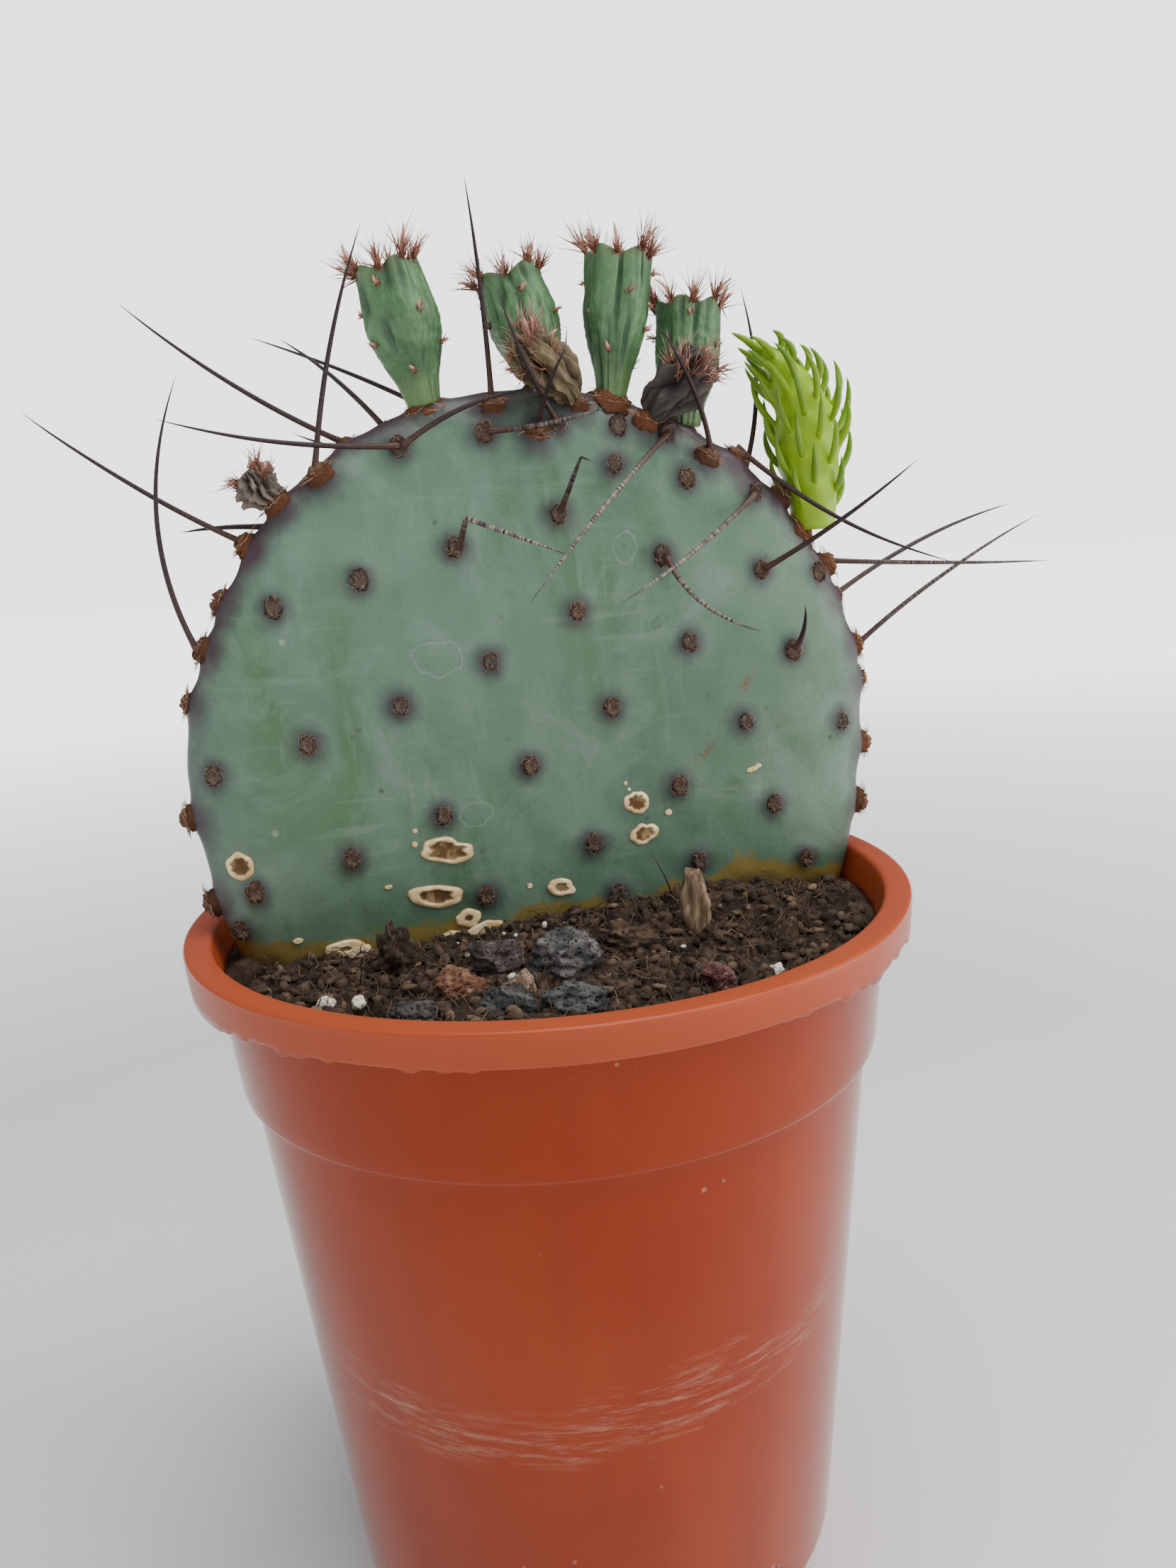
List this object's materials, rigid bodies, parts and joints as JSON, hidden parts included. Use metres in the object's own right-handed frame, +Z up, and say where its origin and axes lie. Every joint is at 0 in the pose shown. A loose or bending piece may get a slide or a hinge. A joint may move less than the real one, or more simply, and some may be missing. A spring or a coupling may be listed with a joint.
{
  "type": "potted paddle cactus",
  "caption": "Flat round cactus pad with long dark spines, green fruits and a fresh shoot on its top edge, rooted in peat in a tapered terracotta-coloured nursery pot.",
  "frame": {"origin": "middle of the pot's flat underside, on the surface it stands on", "axes": "+Z up along the pot's axis; -Y towards the front of the plant; +X to the right, seen from the front"},
  "size_m": [0.1876, 0.14, 0.2855],
  "materials": {
    "terracotta_plastic": "glossy moulded polypropylene, matter on the rim, with scuffs",
    "peat": "loose fibrous peat",
    "pad_skin": "waxy blue-green skin",
    "spine_horn": "dark maroon horn, banded grey",
    "fruit_skin": "satin green skin",
    "withered_skin": "dry and wrinkled",
    "shoot_green": "fresh bright green",
    "grey_lava": "rough porous lava",
    "rust_lava": "rough porous lava",
    "tan_lava": "rough lava",
    "perlite": "chalky white grains",
    "bark": "rough bark",
    "dead_leaf": "dry and curled"
  },
  "bodies": {
    "root": {"back_spine_01": "spine_horn", "back_spine_02": "spine_horn", "back_spine_03": "spine_horn", "back_spine_04": "spine_horn", "back_spine_05": "spine_horn", "bark_piece": "bark", "dead_leaf": "dead_leaf", "edge_spine_01": "spine_horn", "edge_spine_02": "spine_horn", "edge_spine_03": "spine_horn", "edge_spine_04": "spine_horn", "edge_spine_05": "spine_horn", "edge_spine_06": "spine_horn", "edge_spine_07": "spine_horn", "edge_spine_08": "spine_horn", "edge_spine_09": "spine_horn", "edge_spine_10": "spine_horn", "edge_spine_11": "spine_horn", "edge_spine_12": "spine_horn", "edge_spine_13": "spine_horn", "edge_spine_14": "spine_horn", "edge_spine_15": "spine_horn", "face_spine_01": "spine_horn", "face_spine_02": "spine_horn", "face_spine_03": "spine_horn", "face_spine_04": "spine_horn", "face_spine_05": "spine_horn", "face_spine_06": "spine_horn", "face_spine_07": "spine_horn", "face_spine_08": "spine_horn", "face_spine_09": "spine_horn", "face_spine_10": "spine_horn", "face_spine_11": "spine_horn", "fruit_1": "fruit_skin", "fruit_2": "fruit_skin", "fruit_3": "fruit_skin", "fruit_4": "fruit_skin", "new_shoot": "shoot_green", "pad": "pad_skin", "peat_clump": "peat", "perlite_left": "perlite", "perlite_middle": "perlite", "perlite_right": "perlite", "pot": "terracotta_plastic", "soil": "peat", "stone_back": "grey_lava", "stone_dark_left": "grey_lava", "stone_dark_middle": "grey_lava", "stone_dark_right": "grey_lava", "stone_grey": "grey_lava", "stone_purple": "grey_lava", "stone_red": "rust_lava", "stone_rust": "rust_lava", "stone_tan": "tan_lava", "withered_bud": "withered_skin", "withered_fruit_left": "withered_skin", "withered_fruit_right": "withered_skin"}
  },
  "joints": []
}
